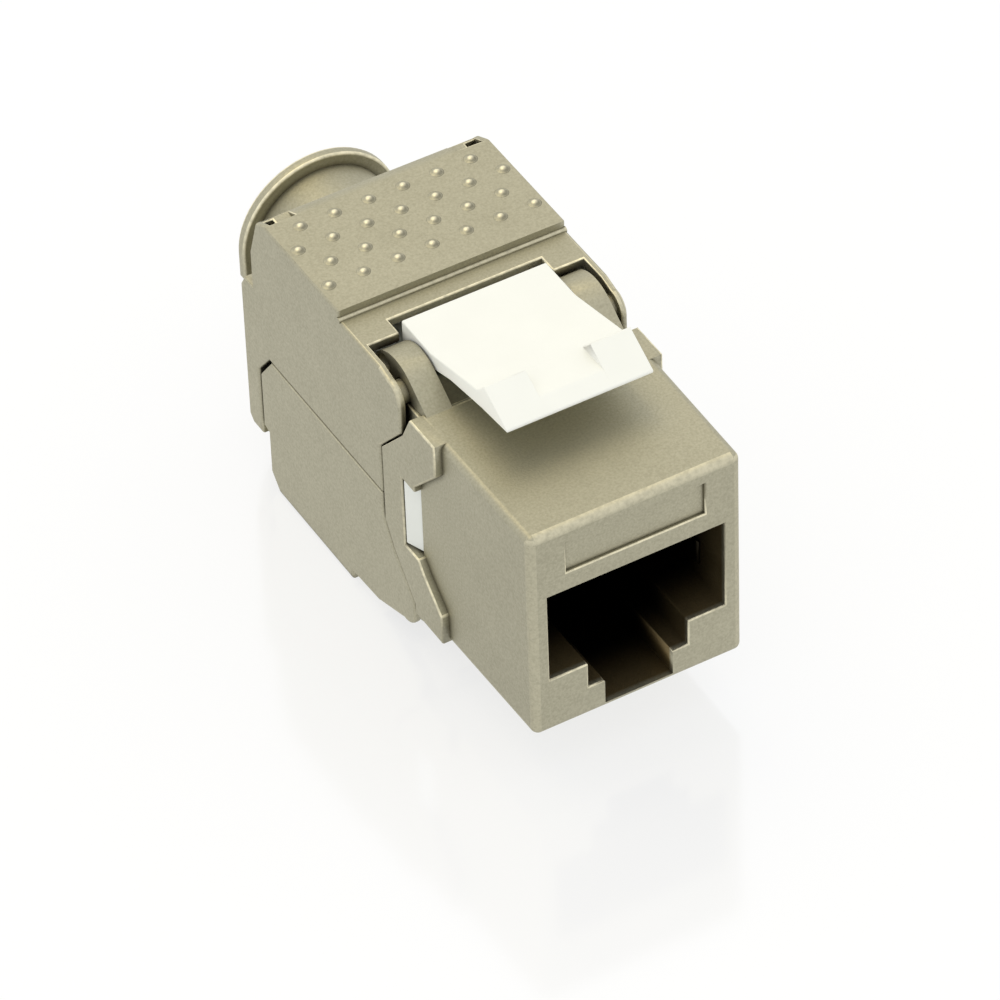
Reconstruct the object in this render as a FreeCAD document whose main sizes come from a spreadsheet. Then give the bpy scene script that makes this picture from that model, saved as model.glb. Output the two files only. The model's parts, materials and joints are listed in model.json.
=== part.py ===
import FreeCAD, Part
import math
import os
import re

import Sketcher

# A shielded keystone jack for a network outlet: a die-cast front housing with the plug socket, two die-cast jaws
# that close over the cable end, a plastic release latch on top, and the contacts and plastic blocks inside.
# X is across the socket with +X to the right of someone facing it, +Y runs to the cable end and +Z is up.
# Every size in the sheet is in millimetres, measured from the front face (Y) and the front block's underside (Z).

DIMENSIONS = {
    # The whole jack.
    "jack_length": 38.85,
    "jaw_bottom": -3.6,
    # Front block and its socket.
    "block_half": 7.25,
    "block_top": 15.85,
    "block_depth": 12.7,
    "block_draft": 0.6,
    "block_edge": 0.5,
    "port_half": 6.07,
    "key_end": 11.9,
    "port_floor": 4.2,
    "port_top": 10.83,
    "key_half": 3.45,
    "key_floor": 2.3,
    "tab_half": 2.35,
    "tab_floor": 0.45,
    "label_half": 4.75,
    "label_low": 12.25,
    "label_high": 14.7,
    "label_depth": 0.25,
    # Frame behind the block, which holds the terminal block.
    "frame_half": 7.1,
    "frame_low": 0.4,
    "frame_high": 15.6,
    "frame_end": 17.9,
    "room_half": 6.3,
    "room_low": 1.4,
    "room_high": 14.4,
    "room_start": 12.9,
    # Panel stops on both sides.
    "stop_half": 7.9,
    "stop_root": 6.85,
    "stop_front": 9.9,
    "stop_top": 15.95,
    "stop_back": 16.4,
    "head_back": 12.75,
    "head_low": 13.55,
    "hook_front": 12.6,
    "hook_low": 10.7,
    "shoulder_y": 13.7,
    "shoulder_z": 14.05,
    "back_high": 11.1,
    "back_low": 5.25,
    "heel_y": 15.45,
    "heel_z": 3.6,
    "toe_y": 13.1,
    "toe_z": 0.8,
    "leg_front": 12.5,
    "leg_bend": 11.9,
    "leg_high": 4.1,
    "leg_low": 2.2,
    "window_front": 12.7,
    "window_back": 14.1,
    "window_low": 4.9,
    "window_high": 10.3,
    "tab_back_half": 7.8,
    "tab_low": 5.05,
    "tab_high": 10.15,
    # Lugs that carry the jaws and the latch.
    "lug_half": 6.9,
    "lug_gap_half": 5.12,
    "lug_y": 16.0,
    "lug_z": 15.0,
    "lug_radius": 2.9,
    "lug_ramp_front": 12.2,
    "lug_ramp_y": 14.39,
    "lug_ramp_z": 17.41,
    "low_lug_y": 14.9,
    "low_lug_z": 0.2,
    "low_lug_radius": 2.3,
    "upper_pivot_y": 15.2,
    "upper_pivot_z": 16.0,
    "lower_pivot_y": 14.5,
    "lower_pivot_z": -0.4,
    "pivot_radius": 0.8,
    "pivot_clearance": 0.05,
    "pivot_end": 6.0,
    # Jaws.
    "jaw_half": 7.9,
    "jaw_inner_half": 7.45,
    "jaw_nose": 1.25,
    "jaw_edge": 0.2,
    "chin_z": 13.95,
    "brow_y": 16.3,
    "cheek_high": 10.95,
    "plate_top": 18.25,
    "plate_front": 21.2,
    "plate_back": 30.3,
    "plate_thick": 1.0,
    "tail_y": 31.5,
    "tail_high": 17.7,
    "tail_back": 32.45,
    "tail_low": 14.85,
    "bar_top": 17.55,
    "bar_thick": 0.65,
    "step_thick": 0.7,
    "bar_front": 18.3,
    "bar_notch_front": 19.7,
    "bar_notch_half": 5.3,
    "low_bar_bottom": -2.95,
    "low_bar_front": 17.9,
    "low_nose": 1.25,
    "low_chin_y": 14.8,
    "low_chin_z": -1.7,
    "low_toe_top": 0.7,
    "low_toe_y": 13.5,
    "low_toe_z": 0.98,
    "low_tail_y": 31.5,
    "low_tail_z": -2.5,
    "low_tail_high": 0.7,
    "low_plate_back": 30.5,
    "low_bar_lip": -2.75,
    "low_cheek_y": 15.75,
    "bead_radius": 0.2,
    "split_upper": 7.2,
    "split_lower": 7.1,
    "side_front": 16.65,
    "wall_front": 31.2,
    "wall_back": 32.3,
    "post_front": 32.3,
    "post_back": 34.0,
    "post_inner": 5.1,
    "post_top": 12.0,
    "post_chamfer": 0.5,
    "post_corner": 0.8,
    "hook_high": 5.35,
    "hook_front_y": 30.8,
    "low_hook_front": 30.6,
    "low_hook_high": 5.15,
    "low_hook_back": 32.1,
    "low_hook_low": 0.9,
    "low_wall_front": 31.0,
    "corner_front": 30.35,
    "corner_half": 5.6,
    "corner_depth": 0.6,
    "corner_hole": 6.75,
    "corner_hole_back": 31.35,
    "corner_hole_depth": 2.2,
    # Cable collar, half on each jaw.
    "collar_half": 4.7,
    "bore_half": 3.9,
    "upper_arch_z": 9.1,
    "lower_arch_z": 5.3,
    "flange_half": 5.56,
    "low_flange_half": 5.35,
    "flange_thick": 0.8,
    # Grip domes on the upper jaw.
    "dome_radius": 0.42,
    "dome_height": 0.17,
    "dome_slope": 55,
    "dome_pitch_x": 2.38,
    "dome_pitch_y": 1.89,
    "dome_row_y": 29.25,
    # Release latch.
    "latch_half": 5.0,
    "latch_top": 19.45,
    "latch_front": 6.1,
    "latch_tip_low": 18.65,
    "latch_tip_high": 18.87,
    "latch_bend": 9.6,
    "latch_crown": 7.15,
    "latch_rise": 15.1,
    "latch_rear_high": 18.15,
    "latch_back": 18.6,
    "latch_belly_y": 13.0,
    "latch_belly_z": 17.7,
    "latch_chin_y": 9.1,
    "latch_chin_z": 18.35,
    "latch_knee_y": 15.8,
    "latch_knee_z": 16.8,
    "latch_foot": 15.3,
    "latch_foot_front": 16.5,
    "tooth_inner": 2.2,
    "tooth_root": 18.55,
    "tooth_ridge_y": 8.7,
    "tooth_ridge_z": 20.35,
    "latch_pin_y": 17.4,
    "latch_pin_z": 16.6,
    "latch_pin_radius": 0.55,
    "latch_pin_half": 5.9,
    # Inside pieces.
    "carrier_half": 5.95,
    "carrier_front": 4.0,
    "carrier_wall": 10.9,
    "carrier_back": 12.7,
    "shelf_low": 9.75,
    "shelf_nose_y": 4.4,
    "shelf_nose_z": 10.05,
    "comb_slot": 0.6,
    "comb_back": 11.8,
    "comb_low": 7.75,
    "comb_floor": 10.35,
    "contact_pitch": 1.02,
    "contact_width": 0.35,
    "contact_thick": 0.25,
    "contact_low": 9.95,
    "contact_nose": 4.5,
    "contact_elbow": 5.6,
    "contact_tip_y": 11.1,
    "contact_tip_z": 8.2,
    "room_gap": 0.2,
    "board_half": 5.7,
    "board_front": 13.3,
    "board_thick": 1.2,
    "terminal_half": 6.2,
    "terminal_front": 14.7,
    "terminal_base_end": 17.5,
    "terminal_end": 20.3,
    "tower_half": 1.0,
    "tower_rise": 1.8,
    "tower_pitch": 2.9,
    "tower_wall": 0.3,
    "tower_gap": 0.15,
    "upper_row_z": 11.4,
    "lower_row_z": 4.4,
    "blade_thick": 0.4,
    "blade_slot": 0.5,
    "blade_inset": 0.4,
    "blade_root": 17.8,
    "blade_throat": 19.4,
    "blade_shoulder": 19.7,
    "blade_tip": 20.1,
    "bite_half": 0.18,
    "mouth_half": 0.5,
    "wire_slot": 0.8,
    "wire_slot_front": 18.3,
    "manager_half": 6.5,
    "manager_front": 18.1,
    "manager_waist": 23.0,
    "manager_back": 29.5,
    "manager_bore": 3.6,
    "manager_bore_front": 22.3,
    "manager_wall": 0.7,
    "manager_neck": 4.5,
    "wire_half": 0.45,
    "wire_rise": 1.2,
    "wire_way_end": 23.5,
    "cable_z": 7.35,
    "spring_width": 1.8,
    "spring_low": 5.4,
    "spring_front": 2.8,
    "spring_back": 10.6,
    "spring_foot": 0.8,
    "spring_peak": 5.8,
    "spring_bow": 0.55,
    "spring_thick": 0.18,
    # Ways of joining and cutting shapes.
    "lap": 0.1,
    "past": 1.0,
    "fit": 0.05,
}

CONTACTS = 8

document = FreeCAD.newDocument("KeystoneJack")
dims = document.addObject("Spreadsheet::Sheet", "Dims")
for row, (word, value) in enumerate(DIMENSIONS.items(), 1):
    dims.set("A%d" % row, word)
    dims.set("B%d" % row, str(value))
    dims.setAlias("B%d" % row, word)
document.recompute()


# Helpers

def cell(text):
    """The same expression with each of the sheet's words pointing at its cell."""
    return re.sub(r"[a-z]\w*", lambda found: ("Dims." if found[0] in DIMENSIONS else "") + found[0], text)


def bind(thing, **properties):
    """Binds properties to expressions; a double underscore in a name stands for a dot."""
    for name, text in properties.items():
        thing.setExpression(name.replace("__", "."), cell(text))


def new_body(label, across="0"):
    """An empty sub-part whose placement moves the front-face frame to the middle of the jack's base."""
    body = document.addObject("PartDesign::Body", label)
    body.Label = label
    bind(body, Placement__Base__x=across, Placement__Base__y="-jack_length / 2", Placement__Base__z="-jaw_bottom")
    return body


def origin_feature(body, role):
    """One of the body's own planes or axes."""
    return [feature for feature in body.Origin.OriginFeatures if feature.Role == role][0]


def new_sketch(body, plane, at="0"):
    """A sketch on one of the body's own planes, moved along that plane's world axis to `at`."""
    sketch = body.newObject("Sketcher::SketchObject", "Sketch")
    sketch.AttachmentSupport = [(origin_feature(body, plane + "_Plane"), "")]
    sketch.MapMode = "FlatFace"
    along = "-(%s)" % at if plane == "XZ" else at
    bind(sketch, AttachmentOffset__Base__z=along)
    return sketch


def hold(sketch, kind, geometry, point, text):
    """Ties a point's coordinate, or a radius, to an expression."""
    if kind == "Radius":
        index = sketch.addConstraint(Sketcher.Constraint(kind, geometry, 1.0))
    else:
        index = sketch.addConstraint(Sketcher.Constraint(kind, -1, 1, geometry, point, 1.0))
    name = "%s_%d_%d" % (kind, geometry, point)
    sketch.renameConstraint(index, name)
    sketch.setExpression("Constraints." + name, cell(text))


def outline(sketch, *corners):
    """A closed outline of straight sides through the corners, each a pair of expressions."""
    count = len(corners)
    first = sketch.GeometryCount

    def start(index):
        turn = 2 * math.pi * (index % count) / count
        return FreeCAD.Vector(math.cos(turn), math.sin(turn), 0)

    for index in range(count):
        sketch.addGeometry(Part.LineSegment(start(index), start(index + 1)), False)
    for index, (across, up) in enumerate(corners):
        following = first + (index + 1) % count
        sketch.addConstraint(Sketcher.Constraint("Coincident", first + index, 2, following, 1))
        hold(sketch, "DistanceX", first + index, 1, across)
        hold(sketch, "DistanceY", first + index, 1, up)
    return sketch


def rectangle(sketch, left, right, low, high):
    return outline(sketch, (left, low), (right, low), (right, high), (left, high))


def circle(sketch, across, up, radius):
    index = sketch.addGeometry(Part.Circle(FreeCAD.Vector(1, 1, 0), FreeCAD.Vector(0, 0, 1), 1), False)
    hold(sketch, "DistanceX", index, 3, across)
    hold(sketch, "DistanceY", index, 3, up)
    hold(sketch, "Radius", index, 0, radius)
    return sketch


def pad(body, sketch, length, backward=False, both_ways=False):
    """Adds the sketch's shape; on the XZ plane `backward` points it at the cable end."""
    feature = body.newObject("PartDesign::Pad", "Pad")
    feature.Profile = sketch
    feature.Reversed = backward
    feature.Midplane = both_ways
    bind(feature, Length=length)
    document.recompute()
    return feature


def pocket(body, sketch, length, backward=False, both_ways=False):
    """Removes the sketch's shape and stops the build if nothing was removed."""
    before = body.Shape.Volume
    feature = body.newObject("PartDesign::Pocket", "Pocket")
    feature.Profile = sketch
    feature.Reversed = backward
    feature.Midplane = both_ways
    bind(feature, Length=length)
    document.recompute()
    if body.Shape.Volume > before - 1e-4:
        raise RuntimeError(body.Label + ": " + feature.Name + " cuts nothing")
    return feature


def slab(body, plane, low, high, draw, *corners):
    """A pad between two places along the plane's world axis."""
    sketch = draw(new_sketch(body, plane, low), *corners)
    return pad(body, sketch, "%s - (%s)" % (high, low), backward=plane == "XZ")


def cut(body, plane, low, high, draw, *corners):
    """A pocket between two places along the plane's world axis."""
    sketch = draw(new_sketch(body, plane, low), *corners)
    return pocket(body, sketch, "%s - (%s)" % (high, low), backward=plane != "XZ")


def across(body, half, draw, *corners):
    """A side outline thickened to the same half width on both sides of the middle."""
    return pad(body, draw(new_sketch(body, "YZ"), *corners), "2 * " + half, both_ways=True)


def cut_across(body, half, draw, *corners):
    """A side outline cut out to the same half width on both sides of the middle."""
    return pocket(body, draw(new_sketch(body, "YZ"), *corners), "2 * " + half, both_ways=True)


def mirrored(body, features):
    """Repeats features on the other side of the middle."""
    feature = body.newObject("PartDesign::Mirrored", "Mirrored")
    feature.Originals = features
    feature.MirrorPlane = (origin_feature(body, "YZ_Plane"), [""])
    body.Tip = feature
    document.recompute()
    return feature


def in_a_row(body, feature, count, pitch):
    """Repeats a feature along X."""
    row = body.newObject("PartDesign::LinearPattern", "Row")
    row.Originals = [feature]
    row.Direction = (origin_feature(body, "X_Axis"), [""])
    bind(row, Length="%d * %s" % (count - 1, pitch))
    row.Occurrences = count
    body.Tip = row
    document.recompute()
    return row


def round_edges(body, radius, wanted):
    """Rounds each edge whose bounding box passes the test."""
    sharp = body.Tip
    names = ["Edge%d" % index for index, edge in enumerate(sharp.Shape.Edges, 1) if wanted(edge.BoundBox)]
    feature = body.newObject("PartDesign::Fillet", "Fillet")
    feature.Base = (sharp, names)
    bind(feature, Radius=radius)
    document.recompute()
    if "Invalid" in feature.State:
        raise RuntimeError("%s: %s fails on %s" % (body.Label, feature.Name, names))
    return feature


def number(word):
    return dims.get(word)


def on_both_sides(half, behind):
    """A test for edges that lie in either side plane, behind a given place."""
    plane, start = number(half), 0.0 if behind == "0" else number(behind)

    def wanted(box):
        flat = box.XLength < 1e-4 and abs(abs(box.XMin) - plane) < 1e-4
        return flat and box.YMin > start
    return wanted


def between(side, inner, outer):
    """A span on one side of the middle, its lower end first; side is "1" or "-1"."""
    ends = ["%s * (%s)" % (side, inner), "%s * (%s)" % (side, outer)]
    return ends if side == "1" else ends[::-1]


# Front housing

def front_block(body):
    """The block behind the front face, which widens to the rear, rounded along its long edges and round the face."""
    block = slab(body, "XY", "0", "block_top", rectangle, "-block_half", "block_half", "0", "block_depth")
    boxes = [(index, face.BoundBox) for index, face in enumerate(block.Shape.Faces, 1)]
    draft = body.newObject("PartDesign::Draft", "Draft")
    draft.Base = (block, ["Face%d" % index for index, box in boxes if box.YLength > 1])
    draft.NeutralPlane = (block, ["Face%d" % index for index, box in boxes if box.YMax < 1e-6])
    draft.Reversed = True
    bind(draft, Angle="block_draft")
    document.recompute()
    round_edges(body, "block_edge", lambda box: box.YMin < 1e-6)


def panel_stops(body):
    """The C-shaped plates on both sides that stop against the panel."""
    stop = [
        ("stop_front", "stop_top"),
        ("head_back", "stop_top"),
        ("shoulder_y", "shoulder_z"),
        ("stop_back", "back_high"),
        ("stop_back", "back_low"),
        ("heel_y", "heel_z"),
        ("toe_y", "toe_z"),
        ("toe_y", "0"),
        ("stop_front", "0"),
        ("stop_front", "leg_low"),
        ("leg_bend", "leg_high"),
        ("leg_front", "window_low"),
        ("window_back", "window_low"),
        ("window_back", "window_high"),
        ("hook_front", "window_high"),
        ("hook_front", "hook_low"),
        ("stop_front", "head_low"),
    ]
    plate = slab(body, "YZ", "stop_root", "stop_half", outline, *stop)
    mirrored(body, [plate])


def lugs(body):
    """Round-topped lugs, two above and two below, with holes for the jaws' stubs and the latch's pin."""
    ramp = [
        ("lug_ramp_front", "stop_top - lap"),
        ("lug_ramp_y", "lug_ramp_z"),
        ("lug_y", "lug_z"),
        ("lug_ramp_front", "lug_z"),
    ]
    across(body, "lug_half", outline, *ramp)
    across(body, "lug_half", circle, "lug_y", "lug_z", "lug_radius")
    across(body, "lug_half", circle, "low_lug_y", "low_lug_z", "low_lug_radius")
    cut_across(body, "stop_half", rectangle, "frame_end", "lug_y + lug_radius", "lug_z - lug_radius", "lug_z")
    above, below = "lug_z + lug_radius", "low_lug_z - low_lug_radius"
    cut_across(body, "lug_gap_half", rectangle, "block_depth", "lug_y + lug_radius", "lug_z", above)
    cut_across(body, "lug_gap_half", rectangle, "lug_ramp_front", "block_depth + lap", "stop_top + fit", above)
    cut_across(body, "lug_gap_half", rectangle, "block_depth", "frame_end", below, "low_lug_z")
    hole = "pivot_radius + pivot_clearance"
    cut_across(body, "stop_half", circle, "upper_pivot_y", "upper_pivot_z", hole)
    cut_across(body, "stop_half", circle, "lower_pivot_y", "lower_pivot_z", hole)
    cut_across(body, "stop_half", circle, "latch_pin_y", "latch_pin_z", "latch_pin_radius + pivot_clearance")


def socket(body):
    """The stepped plug socket, the room behind it, the side windows and the label recess."""
    cut(body, "XZ", "0", "room_start + lap", rectangle, "-port_half", "port_half", "port_floor", "port_top")
    cut(body, "XZ", "0", "key_end", rectangle, "-key_half", "key_half", "key_floor", "port_floor + past")
    cut(body, "XZ", "0", "key_end", rectangle, "-tab_half", "tab_half", "tab_floor", "key_floor + past")
    cut(body, "XZ", "room_start", "frame_end", rectangle, "-room_half", "room_half", "room_low", "room_high")
    cut_across(body, "stop_half + past", rectangle, "window_front", "window_back", "window_low", "window_high")
    cut(body, "XZ", "0", "label_depth", rectangle, "-label_half", "label_half", "label_low", "label_high")


def front_housing():
    body = new_body("front_housing")
    front_block(body)
    panel_stops(body)
    slab(body, "XZ", "block_depth", "frame_end", rectangle, "-frame_half", "frame_half", "frame_low", "frame_high")
    lugs(body)
    socket(body)
    return body


# Jaws

def collar(body, arch_z, foot, flange):
    """Half of the tube that grips the cable, with its rounded flange at the cable end."""
    for half, start, end in [("collar_half", "wall_back - 0.4", "jack_length"),
                             (flange, "jack_length - flange_thick", "jack_length")]:
        slab(body, "XZ", start, end, circle, "0", arch_z, half)
        low, high = sorted([arch_z, foot], key=number)
        slab(body, "XZ", start, end, rectangle, "-" + half, half, low, high)


def bore(body, arch_z, split):
    """The cable's way through the rear wall and the collar."""
    ends = ("wall_front - past", "jack_length + past")
    cut(body, "XZ", *ends, circle, "0", arch_z, "bore_half")
    cut(body, "XZ", *ends, rectangle, "-bore_half", "bore_half", *sorted([arch_z, split], key=number))


def stubs(body, y, z):
    """The two round stubs inside the side walls that turn in the lugs."""
    stub = slab(body, "YZ", "pivot_end", "jaw_inner_half + lap", circle, y, z, "pivot_radius")
    mirrored(body, [stub])


def upper_shell(body):
    """The upper jaw's outer form: plate, bar, side panels and the posts behind the lower jaw."""
    side = [
        ("upper_pivot_y - jaw_nose", "upper_pivot_z"),
        ("upper_pivot_y", "upper_pivot_z + jaw_nose"),
        ("brow_y", "bar_top"),
        ("plate_front", "bar_top"),
        ("plate_front", "plate_top"),
        ("plate_back", "plate_top"),
        ("tail_y", "tail_high"),
        ("tail_back", "tail_low"),
        ("tail_back", "post_top"),
        ("post_back - post_chamfer", "post_top"),
        ("post_back", "post_top - post_corner"),
        ("post_back", "post_chamfer"),
        ("post_back - post_chamfer", "0"),
        ("post_front", "0"),
        ("post_front", "hook_high"),
        ("hook_front_y", "split_upper"),
        ("side_front", "split_upper"),
        ("side_front", "cheek_high"),
        ("upper_pivot_y - jaw_nose", "chin_z"),
    ]
    across(body, "jaw_half", outline, *side)
    across(body, "jaw_half", circle, "upper_pivot_y", "upper_pivot_z", "jaw_nose")
    round_edges(body, "jaw_edge", on_both_sides("jaw_half", "0"))
    across(body, "jaw_half", circle, "plate_front", "bar_top", "bead_radius")


def upper_hollow(body):
    """Opens the upper jaw inside, in front of the bar and between the posts."""
    inside = [
        ("block_depth", "-past"),
        ("block_depth", "plate_top + past"),
        ("bar_front", "plate_top + past"),
        ("bar_front", "bar_top - bar_thick"),
        ("plate_front + step_thick", "bar_top - bar_thick"),
        ("plate_front + step_thick", "plate_top - plate_thick"),
        ("wall_front", "plate_top - plate_thick"),
        ("wall_front", "-past"),
    ]
    cut_across(body, "jaw_inner_half", outline, *inside)
    cut_across(body, "bar_notch_half", rectangle, "bar_front - past", "bar_notch_front",
               "bar_top - bar_thick - past", "bar_top + past")
    cut_across(body, "post_inner", rectangle, "wall_front", "jack_length + past", "-past", "split_upper")
    cut_across(body, "jaw_inner_half", rectangle, "wall_front", "post_front", "-past", "split_upper")
    cut_across(body, "flange_half", rectangle, "post_back", "jack_length + past", "-past", "split_upper")
    for side in ("1", "-1"):
        cut(body, "XZ", "wall_back", "post_back + past", rectangle, *between(side, "collar_half", "post_inner"),
            "split_upper - past", "post_top + past")
    corner = cut(body, "XY", "plate_top - corner_depth", "plate_top + past", rectangle, "corner_half",
                 "jaw_inner_half", "corner_front", "wall_back + past")
    hole = cut(body, "XY", "plate_top - corner_hole_depth", "plate_top + past", rectangle, "corner_hole",
               "jaw_inner_half", "corner_front", "corner_hole_back")
    mirrored(body, [corner, hole])


def grip_domes(body):
    """Four staggered rows of low eight-sided domes, with one on the middle line in every other row."""
    for row in range(4):
        columns = 6 + row % 2
        left = "-%d * dome_pitch_x / 2" % (columns - 1)
        middle = "dome_row_y - %d * dome_pitch_y" % row
        foot = [("%s + dome_radius * cos(%d deg)" % (left, turn), "%s + dome_radius * sin(%d deg)" % (middle, turn))
                for turn in range(0, 360, 45)]
        dome = slab(body, "XY", "plate_top", "plate_top + dome_height", outline, *foot)
        bind(dome, TaperAngle="-dome_slope")
        document.recompute()
        in_a_row(body, dome, columns, "dome_pitch_x")


def upper_jaw():
    body = new_body("upper_jaw")
    upper_shell(body)
    collar(body, "upper_arch_z", "split_upper", "flange_half")
    upper_hollow(body)
    bore(body, "upper_arch_z", "split_upper")
    stubs(body, "upper_pivot_y", "upper_pivot_z")
    grip_domes(body)
    return body


def lower_shell(body):
    """The lower jaw's outer form, which follows the stops' rear edge and ends in front of the posts."""
    side = [
        ("side_front + fit", "split_lower"),
        ("low_hook_front", "split_lower"),
        ("low_hook_back", "low_hook_high"),
        ("low_hook_back", "low_hook_low"),
        ("low_tail_y", "low_tail_high"),
        ("low_tail_y", "low_tail_z"),
        ("low_plate_back", "jaw_bottom"),
        ("plate_front", "jaw_bottom"),
        ("plate_front", "low_bar_bottom"),
        ("low_bar_front", "low_bar_lip"),
        ("low_chin_y", "low_chin_z"),
        ("lower_pivot_y - low_nose", "lower_pivot_z"),
        ("lower_pivot_y - low_nose", "low_toe_top"),
        ("low_toe_y", "low_toe_z"),
        ("low_cheek_y", "heel_z - fit"),
        ("side_front + fit", "back_low + fit"),
    ]
    across(body, "jaw_half", outline, *side)
    across(body, "jaw_half", circle, "lower_pivot_y", "lower_pivot_z", "low_nose")
    round_edges(body, "jaw_edge", on_both_sides("jaw_half", "0"))


def lower_hollow(body):
    """Opens the lower jaw inside and in front of its bar."""
    inside = [
        ("block_depth", "split_lower + past"),
        ("block_depth", "jaw_bottom - past"),
        ("bar_front", "jaw_bottom - past"),
        ("bar_front", "low_bar_bottom + bar_thick"),
        ("plate_front + step_thick", "low_bar_bottom + bar_thick"),
        ("plate_front + step_thick", "jaw_bottom + plate_thick"),
        ("low_wall_front", "jaw_bottom + plate_thick"),
        ("low_wall_front", "split_lower + past"),
    ]
    cut_across(body, "jaw_inner_half", outline, *inside)
    cut_across(body, "bar_notch_half", rectangle, "bar_front - past", "bar_notch_front", "low_bar_bottom - past",
               "low_bar_bottom + bar_thick + past")
    cut_across(body, "jaw_half", rectangle, "wall_front - past", "jack_length + past", "split_lower", "post_top")


def lower_jaw():
    body = new_body("lower_jaw")
    lower_shell(body)
    collar(body, "lower_arch_z", "split_lower", "low_flange_half")
    lower_hollow(body)
    bore(body, "lower_arch_z", "split_lower")
    stubs(body, "lower_pivot_y", "lower_pivot_z")
    return body


# Release latch

def release_latch():
    """The plastic lever on top: a rising plate with two wedge teeth at its front, and the pin it turns on."""
    body = new_body("release_latch")
    side = [
        ("latch_back", "latch_foot"),
        ("latch_back", "latch_rear_high"),
        ("latch_rise", "latch_rear_high"),
        ("latch_bend", "latch_top"),
        ("latch_crown", "latch_top"),
        ("latch_front", "latch_tip_high"),
        ("latch_front", "latch_tip_low"),
        ("latch_chin_y", "latch_chin_z"),
        ("latch_belly_y", "latch_belly_z"),
        ("latch_knee_y", "latch_knee_z"),
        ("latch_foot_front", "latch_foot"),
    ]
    across(body, "latch_half", outline, *side)
    tooth = [
        ("latch_bend", "latch_top"),
        ("tooth_ridge_y", "tooth_ridge_z"),
        ("latch_front", "latch_tip_high"),
        ("tooth_ridge_y", "tooth_root"),
    ]
    wedge = slab(body, "YZ", "tooth_inner", "latch_half", outline, *tooth)
    mirrored(body, [wedge])
    across(body, "latch_pin_half", circle, "latch_pin_y", "latch_pin_z", "latch_pin_radius")
    return body


# Inside the socket

def contact_carrier():
    """The black block at the back of the socket, with the comb that the contacts lie in."""
    body = new_body("contact_carrier")
    side = [
        ("carrier_back", "port_floor + 2 * fit"),
        ("carrier_back", "port_top - 2 * fit"),
        ("carrier_front", "port_top - 2 * fit"),
        ("carrier_front", "shelf_nose_z"),
        ("shelf_nose_y", "shelf_low"),
        ("carrier_wall", "shelf_low"),
        ("carrier_wall", "port_floor + 2 * fit"),
    ]
    across(body, "carrier_half", outline, *side)
    for index in range(CONTACTS):
        middle = contact_place(index)
        span = ["%s - comb_slot / 2" % middle, "%s + comb_slot / 2" % middle]
        cut(body, "XZ", "carrier_front - past", "comb_back", rectangle, *span, "comb_low", "comb_floor")
        cut(body, "XZ", "comb_back - lap", "carrier_back + past", rectangle, *span, "contact_low", "comb_floor")
    return body


def contact_place(index):
    return "%.1f * contact_pitch" % (index - (CONTACTS - 1) / 2)


def port_contact(index):
    """A spring contact: from the board along the shelf to the front, then back and down to its tip."""
    body = new_body("port_contact_%d" % (index + 1), contact_place(index))
    side = [
        ("board_front", "contact_low"),
        ("board_front", "contact_low + contact_thick"),
        ("contact_nose + contact_thick", "contact_low + contact_thick"),
        ("contact_nose", "contact_low"),
        ("contact_nose + lap", "contact_low - contact_thick"),
        ("contact_tip_y", "contact_tip_z"),
        ("contact_tip_y + lap", "contact_tip_z + contact_thick"),
        ("contact_elbow", "contact_low"),
    ]
    pad(body, outline(new_sketch(body, "YZ"), *side), "contact_width", both_ways=True)
    return body


def shield_spring(label, way):
    """A bowed spring strip on one side wall of the socket, which grips the plug's shield."""
    body = new_body(label)
    wall, face = "port_half - fit / 2", "port_half - spring_thick"
    strip = [
        (wall, "spring_front"),
        (wall, "spring_front + spring_foot"),
        ("port_half - spring_bow + spring_thick", "spring_peak"),
        (wall, "spring_back - spring_foot"),
        (wall, "spring_back"),
        (face, "spring_back"),
        ("port_half - spring_bow", "spring_peak"),
        (face, "spring_front"),
    ]
    slab(body, "XY", "spring_low", "spring_low + spring_width", outline, *[(way + " * (%s)" % x, y) for x, y in strip])
    return body


def circuit_board():
    """The upright board between the socket contacts and the terminal block."""
    body = new_body("circuit_board")
    slab(body, "XZ", "board_front", "board_front + board_thick", rectangle, "-board_half", "board_half",
         "room_low + room_gap", "room_high - room_gap")
    return body


# Terminal block and wire manager

def terminal_places():
    """The middle of each terminal across and up, upper row first."""
    return [("%.1f * tower_pitch" % (column - 1.5), row) for row in ("upper_row_z", "lower_row_z")
            for column in range(4)]


def terminal_block():
    """The white block behind the board: two rows of slotted towers, and side arms that snap in the windows."""
    body = new_body("terminal_block")
    slab(body, "XZ", "terminal_front", "terminal_base_end", rectangle, "-terminal_half", "terminal_half",
         "room_low + 2 * fit", "room_high - 2 * fit")
    for x, z in terminal_places():
        slab(body, "XZ", "terminal_base_end - lap", "terminal_end", rectangle, x + " - tower_half",
             x + " + tower_half", z + " - tower_rise", z + " + tower_rise")
    for x, z in terminal_places():
        cut(body, "XZ", "terminal_front + past", "terminal_end + past", rectangle, x + " - blade_slot / 2",
            x + " + blade_slot / 2", z + " - tower_rise + tower_wall", z + " + tower_rise - tower_wall")
    for row in ("upper_row_z", "lower_row_z"):
        cut_across(body, "terminal_half + past", rectangle, "wire_slot_front", "terminal_end + past",
                   row + " - wire_slot / 2", row + " + wire_slot / 2")
    arm = slab(body, "YZ", "carrier_half + fit", "terminal_half", rectangle, "window_front + fit",
               "terminal_front + lap", "tab_low", "tab_high")
    wedge = [
        ("terminal_half - lap", "window_front + fit"),
        ("block_half + fit", "window_front + fit"),
        ("tab_back_half", "window_back - fit"),
        ("terminal_half - lap", "window_back - fit"),
    ]
    tab = slab(body, "XY", "tab_low", "tab_high", outline, *wedge)
    mirrored(body, [arm, tab])
    return body


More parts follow.
